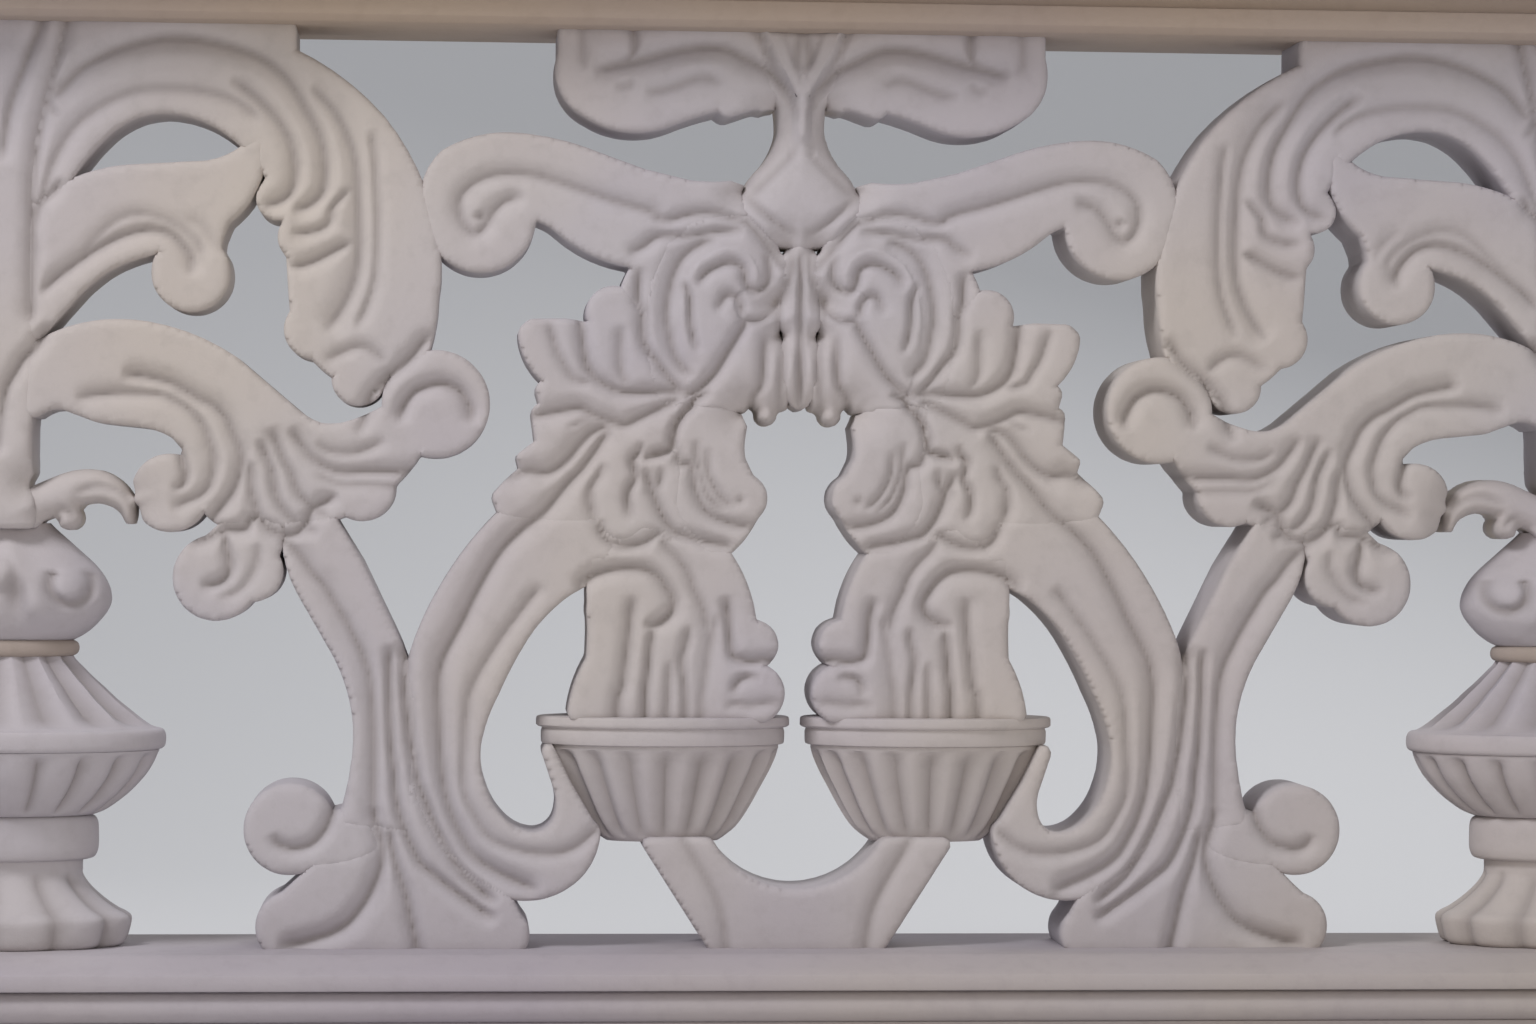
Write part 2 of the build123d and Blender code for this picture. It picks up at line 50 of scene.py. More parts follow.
def unevenness(size, seed):
    """The unevenness of a worked surface, about -1 to 1, as a function of where a point is."""
    waves = 7
    dice = np.random.default_rng(seed)
    directions = dice.normal(size=(waves, 3)) / size
    phases = dice.uniform(0, 2 * math.pi, waves)

    def at(places):
        return np.sin(places @ directions.T + phases).sum(axis=1) / 4
    return at


def places_of(mesh):
    """Where a mesh's points are, one row to each."""
    places = np.empty(len(mesh.vertices) * 3)
    mesh.vertices.foreach_get("co", places)
    return places.reshape(-1, 3)


def stone(name, colour, warm_tone_and_light, dirt_and_shade):
    """Weathered pale stone: blotches, warm blooms, painted warm light on the arrises, and dirt and painted
    shade in the grooves.
    """
    mat = bpy.data.materials.new(name)
    mat.use_nodes = True
    nodes = mat.node_tree.nodes
    link = mat.node_tree.links.new
    shader = nodes["Principled BSDF"]
    shader.inputs["Roughness"].default_value = 0.82
    shader.inputs["Specular IOR Level"].default_value = 0.25
    place = nodes.new("ShaderNodeTexCoord")

    def noise(scale, detail, rough):
        node = nodes.new("ShaderNodeTexNoise")
        node.inputs["Scale"].default_value = scale
        node.inputs["Detail"].default_value = detail
        node.inputs["Roughness"].default_value = rough
        link(place.outputs["Object"], node.inputs["Vector"])
        return node.outputs["Fac"]

    def ramp(source, low, high):
        node = nodes.new("ShaderNodeMapRange")
        node.inputs["From Min"].default_value = low
        node.inputs["From Max"].default_value = high
        link(source, node.inputs["Value"])
        return node.outputs["Result"]

    def times(source, value):
        node = nodes.new("ShaderNodeMath")
        node.operation = "MULTIPLY"
        link(source, node.inputs[0])
        node.inputs[1].default_value = value
        return node.outputs["Value"]

    def mix(factor, under, over):
        node = nodes.new("ShaderNodeMix")
        node.data_type = "RGBA"
        link(factor, node.inputs["Factor"])
        for socket, value in ((node.inputs["A"], under), (node.inputs["B"], over)):
            if isinstance(value, tuple):
                socket.default_value = (*value, 1)
            else:
                link(value, socket)
        return node.outputs["Result"]

    def marked(name):
        node = nodes.new("ShaderNodeAttribute")
        node.attribute_name = name
        return node.outputs["Fac"]

    lilac = tuple(c * f for c, f in zip(colour, (1.0, 0.97, 1.03)))
    pale = tuple(c * 1.12 for c in colour)
    blotches = ramp(noise(5, 3, 0.5), 0.35, 0.65)
    blooms = ramp(noise(2.2, 2, 0.5), 0.42, 0.66)
    specks = ramp(noise(60, 4, 0.6), 0.5, 0.75)
    body = mix(times(blotches, 0.5), lilac, pale)
    body = mix(times(blooms, 0.65), body, warm_tone_and_light)
    # Painted warm light on the arrises and side walls, standing for bounce light and highlight.
    body = mix(times(marked("edge"), 0.75), body, warm_tone_and_light)
    body = mix(times(specks, 0.14), body, dirt_and_shade)
    # Dirt with painted shade in the grooves, darkest along the cut lines.
    body = mix(times(marked("groove"), 0.6), body, dirt_and_shade)
    link(body, shader.inputs["Base Color"])
    bump = nodes.new("ShaderNodeBump")
    bump.inputs["Strength"].default_value = 0.25
    bump.inputs["Distance"].default_value = 0.0015
    link(noise(140, 4, 0.65), bump.inputs["Height"])
    link(bump.outputs["Normal"], shader.inputs["Normal"])
    return mat


def run_moulding(name, profile, worn):
    """A moulding cut from a long block, worn back by up to so many mm.

    The profile is one half of its section from below to above, as (y, z) in mm."""
    (_, low), (_, high) = profile[0], profile[-1]
    bpy.ops.mesh.primitive_cube_add(size=1, location=(0, 0, (low + high) / 2000),
                                    scale=(2 * HALF_LENGTH, 2, (high - low) / 1000))
    piece = bpy.context.object
    piece.name = name
    bpy.ops.object.transform_apply(location=True, rotation=False, scale=True)
    bpy.ops.object.mode_set(mode="EDIT")
    bpy.ops.mesh.select_all(action="SELECT")
    for _, z in profile[1:-1]:
        bpy.ops.mesh.bisect(plane_co=(0, 0, z / 1000), plane_no=(0, 0, 1))
        bpy.ops.mesh.select_all(action="SELECT")
    for i in range(1, MOULDING_CUTS):
        along = HALF_LENGTH * (2 * i / MOULDING_CUTS - 1)
        bpy.ops.mesh.bisect(plane_co=(along, 0, 0), plane_no=(1, 0, 0))
        bpy.ops.mesh.select_all(action="SELECT")
    for y, z in profile:
        bpy.ops.mesh.select_all(action="DESELECT")
        bpy.ops.object.mode_set(mode="OBJECT")
        for vert in piece.data.vertices:
            vert.select = abs(vert.co.z - z / 1000) < HAIR
        bpy.ops.object.mode_set(mode="EDIT")
        bpy.ops.transform.resize(value=(1, y / 1000, 1), center_override=(0, 0, z / 1000))
    bpy.ops.object.mode_set(mode="OBJECT")
    places = places_of(piece.data)
    wear = unevenness(0.25, len(name))(places) + 0.5 * unevenness(0.04, len(name) + 1)(places)
    inward = worn / 1000 * (0.5 + 0.5 * np.clip(wear, -1, 1))
    off_the_bed = (places[:, 2] > low / 1000 + HAIR) & (places[:, 2] < high / 1000 - HAIR)
    from_the_middle = np.sign(places[:, 2] - (low + high) / 2000)
    places[:, 1] -= np.sign(places[:, 1]) * inward
    places[:, 2] -= np.where(off_the_bed, from_the_middle * inward * 0.3, 0)
    piece.data.vertices.foreach_set("co", places.ravel())
    bpy.ops.object.mode_set(mode="EDIT")
    bpy.ops.mesh.select_all(action="SELECT")
    bpy.ops.mesh.normals_make_consistent(inside=False)
    bpy.ops.object.mode_set(mode="OBJECT")
    bpy.ops.object.shade_smooth_by_angle(angle=math.radians(28))
    return piece


def settle(piece, node, material):
    """Gives a finished piece its stone, hangs it on the root and hides the solid of the frame that it stands
    for.
    """
    piece.data.materials.clear()
    piece.data.materials.append(material)
    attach(piece, "root")
    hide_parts(node)
    bpy.ops.object.select_all(action="DESELECT")


rail_stone = stone("rail_stone", (0.36, 0.335, 0.35), (0.42, 0.37, 0.325), (0.21, 0.19, 0.195))

plinth_profile = [
    (91, 0), (93, 1), (94, 3), (94, 26), (94, 48), (93, 51), (91, 52), (86, 52.4),
    (84.6, 53), (84, 54.4), (84, 58), (84, 61.4), (83, 62),
]
plinth = run_moulding("rail_plinth", plinth_profile, worn=1.0)
settle(plinth, "bottom_plinth", rail_stone)

# Slab of the bottom rail, of the same stone, bedded on the plinth. A torus runs under its
# square edge, and its top falls to the front and back so that rain runs off it.
TORUS = 12
slab_profile = [(84, 62)]
for turned_by in range(15, 166, 15):
    bow = math.radians(turned_by)
    slab_profile.append((84 + TORUS * math.sin(bow), 62 + TORUS - TORUS * math.cos(bow)))
slab_profile += [
    (86.5, 85.8), (98, 86), (99.4, 86.6), (100, 88), (100, 92), (100, 96), (99.3, 97.8),
    (97.6, 99), (90, 102.4), (80, 106.6), (73, 109.5), (70, 110),
]
slab = run_moulding("rail_slab", slab_profile, worn=1.0)
settle(slab, "bottom_slab", rail_stone)

# Vase feet: a spreading foot with broad petals, of pale carved stone. It is cut in the round,
# flattened front to back, and stands on the rail. Each course of a vase sits on the one below.
RAIL_TOP = 0.110
VASE_AXIS = 0.590
VASE_FLATNESS = 0.56
GROOVE_FADE = 0.12
carved_stone = stone("carved_stone", (0.405, 0.385, 0.395), (0.49, 0.43, 0.355), (0.21, 0.185, 0.18))


def smooth(points, steps):
    """Points along a smooth line through the given ones, so many steps to each run."""
    knots = [np.array(point, float) for point in points]
    knots = [2 * knots[0] - knots[1]] + knots + [2 * knots[-1] - knots[-2]]
    line = []
    for a, b, c, d in zip(knots, knots[1:], knots[2:], knots[3:]):
        for i in range(steps):
            t = i / steps
            line.append(0.5 * (2 * b + (c - a) * t + (2 * a - 5 * b + 4 * c - d) * t * t
                               + (3 * b - a - 3 * c + d) * t ** 3))
    line.append(knots[-2])
    return np.array(line)


def mark(mesh, groove, edge):
    """Marks how deep in a groove each point is, for dirt and painted shade, and how near an edge, for painted
    warm light.
    """
    for name, values in (("groove", groove), ("edge", edge)):
        mesh.attributes.new(name, "FLOAT", "POINT").data.foreach_set("value", values)


def turn(name, levels, axis, flatness, petals=0, cut=0.0, low=0.0, high=1.0, power=1.0,
         steps=3, rounds=160):
    """A turned body, flattened, with grooves between its petals, on both sides of the centre.

    The levels are (height, radius) in mm above the rail. Cut is the share of the radius that the
    grooves go in, low and high are the shares of the height between which they run, and power
    says how sharp they are."""
    line = [(RAIL_TOP + z / 1000, r / 1000) for z, r in smooth(levels, steps)]
    bpy.ops.mesh.primitive_circle_add(vertices=rounds, fill_type="NGON", radius=line[0][1],
                                      location=(0, 0, line[0][0]))
    piece = bpy.context.object
    piece.name = name
    bpy.ops.object.transform_apply(location=True)
    bpy.ops.object.mode_set(mode="EDIT")
    bpy.ops.mesh.select_all(action="SELECT")
    for (z0, r0), (z1, r1) in zip(line, line[1:]):
        bpy.ops.mesh.extrude_region_move(TRANSFORM_OT_translate={"value": (0, 0, z1 - z0)})
        bpy.ops.transform.resize(value=(r1 / r0, r1 / r0, 1), center_override=(0, 0, z1))
    bpy.ops.mesh.select_all(action="SELECT")
    bpy.ops.mesh.normals_make_consistent(inside=False)
    bpy.ops.object.mode_set(mode="OBJECT")
    mesh = piece.data
    places = places_of(mesh)
    groove = np.zeros(len(places))
    if petals:
        petal = np.arctan2(places[:, 0], -places[:, 1]) * petals / (2 * math.pi)
        from_groove = np.abs((petal + 0.5) % 1.0 - 0.5) * 2
        share = (places[:, 2] - line[0][0]) / (line[-1][0] - line[0][0])
        fade = np.clip(np.minimum(share - low, high - share) / GROOVE_FADE, 0, 1)
        groove = (1 - from_groove) ** power * np.sqrt(fade)
        places[:, :2] *= (1 - cut * groove)[:, None]
    places[:, 1] *= flatness
    places[:, 0] += axis
    tool_marks = unevenness(0.03, len(name))(places) * 0.0003
    places[:, 0] += tool_marks
    places[:, 1] += tool_marks * np.sign(places[:, 1])
    mesh.vertices.foreach_set("co", places.ravel())
    # Dirt with painted shade in the grooves between the petals; no painted warm light on the edges.
    mark(mesh, groove ** 1.5, np.zeros(len(places)))
    bpy.ops.object.shade_smooth_by_angle(angle=math.radians(40))
    other = piece.copy()
    other.data = mesh.copy()
    bpy.context.collection.objects.link(other)
    places[:, 0] *= -1
    other.data.vertices.foreach_set("co", places.ravel())
    other.data.flip_normals()
    other.select_set(True)
    bpy.ops.object.join()
    return piece


feet = turn("vase_foot_course", [(0, 90), (3, 95), (12, 98), (20, 99), (24, 95), (27, 89), (34, 79), (43, 69),
                                 (51, 63), (56, 61.5), (64, 61.5)],
            VASE_AXIS, VASE_FLATNESS, petals=12, cut=0.07, low=-0.2, high=0.86, power=2.2)
settle(feet, "vase_feet", carved_stone)

# Vase rings: a plain round band of the same stone, between the foot and the bowl. It is cut in
# the round like the foot, with softened arrises.
rings = turn("vase_ring_course", [(64, 66), (65.5, 70), (69, 72), (74, 73), (84, 73), (91, 72.5), (95, 70.5),
                                  (97, 66)], VASE_AXIS, VASE_FLATNESS, rounds=128)
settle(rings, "vase_rings", carved_stone)

# Vase bowls: a swelling bowl of carved stone. Upright gadroons are cut round it, with rounded
# ends below, and the rim's band lies over their upper ends.
bowls = turn("vase_bowl_course", [(97, 70), (100, 78), (105, 86), (112, 95), (120, 103), (128, 109.5),
                                  (136, 114), (141, 116), (145, 117)],
             VASE_AXIS, VASE_FLATNESS, petals=20, cut=0.075, low=0.03, high=0.95, power=2.6)
settle(bowls, "vase_bowls", carved_stone)

# Vase rims: the widest part of the vase, a flat band of the same stone between the bowl and
# the shoulder, with arrises that weather has softened.
rims = turn("vase_rim_course", [(145, 116), (146, 119.5), (148.5, 121.5), (153, 122), (157, 121.5),
                                (160, 119.5), (161, 115)], VASE_AXIS, VASE_FLATNESS, rounds=128)
settle(rims, "vase_rims", carved_stone)

# Vase shoulders: a cone of carved stone with hollow sides, drawn in to the throat. Broad
# channels are cut down it between narrow fillets.
shoulders = turn("vase_shoulder_course", [(161, 115), (163, 111), (168, 104), (174, 96.5), (182, 86.5),
                                          (190, 78), (198, 69), (206, 61), (211, 56), (214, 54)],
                 VASE_AXIS, VASE_FLATNESS, petals=16, cut=0.10, low=0.02, high=1.2, power=0.95)
settle(shoulders, "vase_shoulders", carved_stone)

# Vase collars: a thin round band of stone at the throat, between the shoulder and the crown,
# stained brown where water stands on it.
collar_stone = stone("collar_stone", (0.32, 0.275, 0.235), (0.34, 0.28, 0.225), (0.20, 0.165, 0.135))
collars = turn("vase_collar_course", [(214, 53), (215.5, 56), (218, 57.5), (221, 57.7), (224, 56.5),
                                      (226, 53)], VASE_AXIS, VASE_FLATNESS, rounds=128)
settle(collars, "vase_collars", collar_stone)

# Vase crowns: a bud of leaves on the collar, of carved stone, with a round ball in the middle
# and a curl on either side. It is cut in the round and then carved on both faces.
BALL = (0, 276, 13)
EYE = (54, 268, 12)
crowns = turn("vase_crown_course", [(226, 54), (229, 60), (234, 67), (240, 73), (247, 78.5), (254, 81.5),
                                    (260, 81.5), (267, 79.5), (275, 75), (283, 68), (292, 58), (300, 49),
                                    (307, 41), (312, 36)], VASE_AXIS, VASE_FLATNESS)
places = places_of(crowns.data)
across = np.abs(np.abs(places[:, 0]) - VASE_AXIS) * 1000
up = (places[:, 2] - RAIL_TOP) * 1000
front = np.clip(np.abs(places[:, 1]) * 1000 / 30, 0, 1)
from_ball = np.hypot(across - BALL[0], up - BALL[1])
from_eye = np.hypot(across - EYE[0], up - EYE[1])
ball = np.sqrt(np.clip(1 - (from_ball / BALL[2]) ** 2, 0, 1))
eye = np.sqrt(np.clip(1 - (from_eye / EYE[2]) ** 2, 0, 1))
ditch = np.exp(-((from_eye - EYE[2] - 3) / 4) ** 2) * (up < 275)
leaf = np.exp(-((across - (30 + (up - 250) * -0.45)) / 9) ** 2) * np.clip((up - 236) / 12, 0, 1)
hollow = np.exp(-((across - 16) / 8) ** 2) * np.exp(-((up - 262) / 16) ** 2)
carved_by = 4 * leaf + 6 * ball + 3 * eye - 4 * ditch - 7 * hollow - 2
places[:, 1] += np.sign(places[:, 1]) * front * carved_by / 1000
crowns.data.vertices.foreach_set("co", places.ravel())
# Dirt with painted shade in the crown's ditch and hollow.
crowns.data.attributes["groove"].data.foreach_set("value", np.clip(front * (ditch + hollow), 0, 1))
settle(crowns, "vase_crowns", carved_stone)

# Vase stems: a fluted stem from the crown to the bed moulding, carved out of the same slab of
# stone as the scrolls beside it. The slab is 66 mm thick, its boldest carving stands out by
# another 6 mm, and both faces are carved alike.
SLAB_HALF = 33.0
BOLDEST_HALF = 39.0
SQUEEZE = 0.36
GRAIN = 0.0024
NOTCH = 0.006
WALL_STEP = 0.003
openwork = [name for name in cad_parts
            if not name.startswith(("vase_", "basket_", "bottom_", "bed_", "coping"))]
openwork += ["vase_stems", "basket_plumes"]


def triangles(node):
    """The corners of a solid's triangles, as one array."""
    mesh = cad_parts[node].data
    mesh.calc_loop_triangles()
    corners = np.empty(len(mesh.loop_triangles) * 3, int)
    mesh.loop_triangles.foreach_get("vertices", corners)
    return places_of(mesh)[corners].reshape(-1, 3, 3)


all_triangles = np.concatenate([triangles(name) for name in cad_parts])
whole_screen = BVHTree.FromPolygons([tuple(corner) for corner in all_triangles.reshape(-1, 3)],
                                    [(3 * i, 3 * i + 1, 3 * i + 2) for i in range(len(all_triangles))])


def open_edges():
    """The walls of the carving that stand free, as upright quads through the whole depth.

    A wall with another piece, or the far side of a mere notch, close in front of it isn't free."""
    corners = []
    quads = []
    seen = set()
    for name in openwork:
        for tri in triangles(name):
            normal = np.cross(tri[1] - tri[0], tri[2] - tri[0])
            size = np.linalg.norm(normal)
            upright = abs(normal[1]) <= 0.3 * size
            in_slab = np.abs(tri[:, 1]).min() <= SLAB_HALF / 1000 - 0.0005
            if size < 1e-12 or not upright or not in_slab:
                continue
            ends = sorted({(round(p[0], 5), round(p[2], 5)) for p in tri})
            if len(ends) != 2 or (ends[0], ends[1]) in seen:
                continue
            seen.add((ends[0], ends[1]))
            start, end = np.array(ends[0]), np.array(ends[1])
            outward = np.array([normal[0], normal[2]]) / size
            parts = max(1, int(np.linalg.norm(end - start) / WALL_STEP + 0.5))
            for i in range(parts):
                a = start + (end - start) * i / parts
                b = start + (end - start) * (i + 1) / parts
                probe = (a + b) / 2 + outward * NOTCH
                in_front = Vector((probe[0], -0.5, probe[1]))
                if whole_screen.ray_cast(in_front, Vector((0, 1, 0)))[0] is not None:
                    continue
                quads.append(tuple(range(len(corners), len(corners) + 4)))
                corners += [(a[0], -1, a[1]), (b[0], -1, b[1]), (b[0], 1, b[1]), (a[0], 1, a[1])]
    return BVHTree.FromPolygons(corners, quads)


free_edges = open_edges()


def stroke(x, z, points):
    """How far each place is from a smooth line or a point, and what share of the cut's depth is
    left there, as a line runs out at its ends."""
    if len(points) == 1:
        return np.hypot(x - points[0][0], z - points[0][1]), np.ones(len(x))
    line = smooth(points, steps=4)
    runs = np.diff(line, axis=0)
    lengths = np.hypot(runs[:, 0], runs[:, 1])
    before = np.concatenate([[0], np.cumsum(lengths)])
    best = np.full(len(x), 1e9)
    along = np.zeros(len(x))
    for a, run, length, start in zip(line, runs, lengths, before):
        t = np.clip(((x - a[0]) * run[0] + (z - a[1]) * run[1]) / length ** 2, 0, 1)
        far = np.hypot(x - a[0] - t * run[0], z - a[1] - t * run[1])
        near = far < best
        best = np.where(near, far, best)
        along = np.where(near, start + t * length, along)
    fade = min(14, 0.4 * before[-1])
    ends = np.clip(np.minimum(along, before[-1] - along) / fade, 0, 1)
    return best, ends * (2 - ends)


blanks = []
carving = []


def blank(node, name, half=SLAB_HALF, tallest=BOLDEST_HALF, rounding=28.0, drop=11.0):
    """Saws a piece out of the slab to the outline of its solid, ready to be carved.

    Half is half its thickness, tallest the most that the carving brings that to, and the face
    falls by drop within rounding of a free edge, all in mm. The piece is squeezed flat while its
    faces are made even, which leaves fewer on its sides, and the relief stretches it again."""
    piece = bpy.data.objects.new(name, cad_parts[node].data.copy())
    bpy.context.collection.objects.link(piece)
    bpy.context.view_layer.objects.active = piece
    piece.select_set(True)
    places = places_of(piece.data)
    places[:, 1] = np.clip(places[:, 1], -half / 1000, half / 1000) * SQUEEZE
    piece.data.vertices.foreach_set("co", places.ravel())
    bpy.ops.object.mode_set(mode="EDIT")
    bpy.ops.mesh.select_all(action="SELECT")
    bpy.ops.mesh.remove_doubles(threshold=0.00002)
    bpy.ops.object.mode_set(mode="OBJECT")
    remesh = piece.modifiers.new("even", "REMESH")
    remesh.mode = "VOXEL"
    remesh.voxel_size = GRAIN
    remesh.adaptivity = 0
    bpy.ops.object.modifier_apply(modifier="even")
    bpy.ops.object.shade_smooth()
    settle(piece, node, carved_stone)
    blanks.append((piece, half, tallest, rounding, drop))


def cut(axis, strokes):
    """Notes the lines to be carved, given from the axis of the vase or of the whole screen.

    A stroke is (depth, width, points): depth at the line in mm, or height of a rib if negative,
    how far the round reaches from it, and the line itself, in mm outwards and above the rail."""
    for depth, width, points in strokes:
        if axis == "vase":
            points = [(VASE_AXIS * 1000 - x, z) for x, z in points]
        carving.append((depth, width, points))


blank("vase_stems", "carved_stems")
cut("vase", [
    (7, 9, [(56, 705), (50, 690), (48, 680), (38, 640), (29, 600), (25, 570), (24, 540), (26, 500)]),
    (7, 9, [(36, 716), (34, 705), (30, 680), (22, 660), (17, 645), (11, 628), (7, 613), (4, 596), (1, 575)]),
    (8, 9, [(38, 460), (34, 452), (28, 442), (20, 434), (13, 423), (7, 412), (4, 399), (1, 380), (0, 360)]),
])

# Tongues: an upturned leaf beside the stem with a curl rolled under its tip, carved in the
# slab between the arched leaf above it and the long scroll below it.
blank("tongue_scrolls", "carved_tongues")
cut("vase", [
    (7, 10, [(28, 478), (40, 490), (55, 502), (74, 515), (92, 524), (111, 528), (126, 524), (137, 513),
             (141, 503), (138, 494)]),
    (4, 9, [(58, 506), (67, 517), (83, 532), (96, 538), (111, 538), (130, 531), (145, 518), (149, 504)]),
    (7, 9, [(46, 566), (40, 556), (30, 546), (25, 530), (24, 510), (24, 470), (24, 455)]),
    (3, 9, [(133, 537), (144, 534), (154, 524), (160, 512)]),
])

# S-scrolls: the long scroll of carved stone that springs from the stem, with folds that fan
# out under it, an inner curl and the outer volute.
blank("s_scrolls", "carved_s_scrolls")
cut("vase", [
    (8, 11, [(90, 423), (104, 421), (118, 418), (128, 415), (137, 410), (147, 404), (157, 399), (167, 389),
             (172, 378), (177, 367), (178, 357), (175, 344), (170, 334), (163, 325), (157, 317), (152, 308),
             (148, 298)]),
    (6, 9, [(56, 404), (75, 407), (95, 408), (118, 407), (130, 402), (141, 395), (150, 384), (155, 372),
            (158, 361), (157, 350), (154, 340), (147, 333), (136, 328), (126, 322)]),
    (8, 11, [(183, 362), (184, 350), (185, 338), (188, 327), (191, 318), (197, 311), (205, 306), (214, 302)]),
    (7, 10, [(190, 376), (196, 362), (200, 352), (202, 340), (205, 329), (211, 320), (218, 314), (226, 310),
             (236, 306)]),
    (7, 10, [(198, 384), (204, 371), (209, 359), (215, 348), (219, 337), (225, 329), (233, 323), (244, 318)]),
    (7, 10, [(314, 352), (300, 352), (285, 352), (266, 352), (252, 351), (241, 354), (230, 361), (221, 372),
             (213, 384)]),
    (5, 8, [(285, 376), (277, 372), (266, 367), (255, 365), (241, 367), (230, 374)]),
    (4, 8, [(298, 340), (286, 341), (268, 342), (252, 342), (240, 346), (230, 354)]),
    (9, 9, [(293, 386), (294, 393), (297, 402), (304, 411), (315, 416), (326, 417), (337, 412), (343, 404),
            (346, 396), (345, 386)]),
    (8, 9, [(318, 456), (310, 448), (304, 440), (296, 432), (285, 423), (278, 415), (272, 408), (269, 398),
            (266, 388), (262, 378)]),
    (7, 6, [(129, 372), (133, 364), (136, 355), (137, 347), (134, 340), (126, 338)]),
])

# Arch leaves: the acanthus that arches over the tongue and hangs down in four turned lobes.
# It is carved in the slab right up to the bed moulding and ends on the long scroll.
blank("arch_leaves", "carved_arch_leaves")
cut("vase", [
    (8, 12, [(38, 622), (50, 636), (57, 644), (65, 650), (78, 657), (92, 663), (111, 668), (130, 670),
             (148, 668), (167, 664), (185, 658), (199, 649), (209, 640), (218, 627), (226, 613), (233, 600),
             (237, 585), (238, 570), (236, 558), (229, 550), (222, 546), (212, 544)]),
    (7, 10, [(168, 640), (181, 631), (192, 621), (203, 609), (211, 596), (215, 583), (216, 570), (213, 558),
             (206, 551), (198, 548), (190, 547)]),
    (5, 9, [(28, 544), (34, 560), (40, 577), (50, 596), (64, 611), (84, 624), (105, 631), (130, 632),
            (150, 630), (168, 625), (182, 617), (192, 608)]),
    (7, 14, [(226, 636), (238, 624), (246, 614), (253, 601), (258, 588), (261, 572), (262, 555), (263, 535),
             (263, 515), (261, 497), (255, 480), (247, 466), (238, 454)]),
    (6, 8, [(260, 564), (252, 556), (243, 546), (241, 536), (234, 530), (222, 527), (212, 528)]),
    (7, 9, [(262, 522), (252, 518), (244, 514), (229, 506), (218, 503), (210, 504)]),
    (5, 6, [(46, 640), (40, 632), (37, 622), (39, 614), (46, 611)]),
    (5, 8, [(270, 604), (273, 590), (275, 565), (276, 540), (276, 515), (274, 492), (268, 472), (260, 456)]),
    (5, 8, [(236, 432), (244, 436), (252, 440), (260, 443), (268, 443), (278, 437), (286, 428)]),
])

# Hook leaves: a small scalloped leaf of stone that bridges the gap between the vase's crown
# and the inner curl, and is cut back to 52 mm thick.
blank("hook_leaves", "carved_hook_leaves", half=26.0, tallest=33.0, rounding=12, drop=6)
cut("vase", [
    (5, 6, [(40, 318), (46, 322), (52, 320), (56, 312)]),
    (4, 8, [(54, 332), (66, 338), (78, 339), (90, 335), (98, 325), (104, 312)]),
])

# Hanging curls: a heavy round curl of stone that hangs from the long scroll, whose folds lap
# over the top of it.
blank("hanging_curls", "carved_hanging_curls")
cut("vase", [
    (9, 10, [(250, 336), (240, 330), (230, 324), (224, 311), (215, 305), (205, 305), (198, 309),
             (191, 316), (185, 316), (180, 309), (167, 308), (158, 304), (148, 300), (138, 298)]),
    (8, 8, [(162, 318), (165, 306), (168, 292), (170, 281), (166, 272), (157, 268), (148, 268)]),
    (4, 8, [(190, 300), (190, 285), (184, 272), (174, 262), (160, 258)]),
])

# Foot arms: the arm that carries the long scroll down to the foot, carved in the slab with a
# rolled inner edge and two channels that run out over the foot.
blank("foot_arms", "carved_foot_arms")
cut("vase", [
    (8, 8, [(287, 225), (287, 205), (287, 190), (288, 160), (289, 145), (291, 130), (292, 115), (295, 100),
            (299, 88), (305, 74), (312, 62), (320, 55), (330, 47), (342, 38), (356, 28), (368, 20)]),
    (9, 9, [(297, 228), (298, 213), (298, 198), (299, 183), (301, 168), (303, 152), (306, 137), (309, 122),
            (315, 107), (321, 92), (330, 74), (338, 61), (345, 52), (356, 42), (368, 32)]),
    (7, 11, [(196, 314), (205, 305), (213, 297), (222, 288), (230, 277), (239, 267), (246, 256), (254, 243),
             (262, 228), (269, 213), (273, 198), (275, 175), (276, 152), (276, 130), (276, 112), (276, 96)]),
])

# Ball curls: a ball in a ring, carved in the slab. It stands free over the rail and grows
# out of the side of the arm just above the foot.
blank("ball_curls", "carved_ball_curls")
cut("vase", [
    (7, 8, [(252, 122), (250, 112), (247, 103), (244, 95), (240, 87), (233, 79), (225, 75), (214, 74),
            (206, 78), (203, 86)]),
])

# Fan feet: broad petals of stone that spread where the arms of two bays meet. They rest on
# the rail and carry most of the slab.
blank("fan_feet", "carved_fan_feet")
cut("vase", [
    (9, 11, [(276, 112), (277, 96), (281, 84), (283, 70), (281, 58), (275, 43), (268, 31), (258, 19),
             (247, 12), (236, 8), (222, 4), (206, 2)]),
    (8, 9, [(287, 92), (289, 78), (292, 65), (296, 53), (300, 41), (303, 28), (306, 14), (309, 0),
            (310, -12), (311, -24)]),
])

# Centre stem: a stem with a raised Y on it, over a plain plate bordered by the bands of the
# two arms.
blank("centre_stem", "carved_centre_stem")
cut("centre", [
    (5, 6, [(44, 562), (37, 555), (29, 547), (18, 538), (8, 532), (0, 530)]),
    (4, 7, [(40, 556), (30, 566), (19, 577), (9, 588), (3, 600)]),
    (-8, 9, [(34, 708), (23, 680), (13, 657), (7, 643), (2, 630), (0, 615), (0, 598)]),
    (5, 9, [(0, 716), (0, 700), (2, 680), (5, 662), (2, 650)]),
    (5, 6, [(44, 704), (33, 680), (26, 663), (17, 644), (7, 627), (4, 612)]),
])

# Centre rib: a pair of narrow ribs on the centre line of the hoop bay, carved in the slab
# with a deep slot between them.
blank("centre_rib", "carved_centre_rib")
cut("centre", [
    (10, 6, [(0, 522), (0, 505), (0, 480), (0, 450), (0, 410), (0, 370), (0, 350)]),
    (6, 7, [(6, 520), (8, 500), (15, 486), (17, 470), (14, 450), (14, 430), (15, 410), (15, 396)]),
])

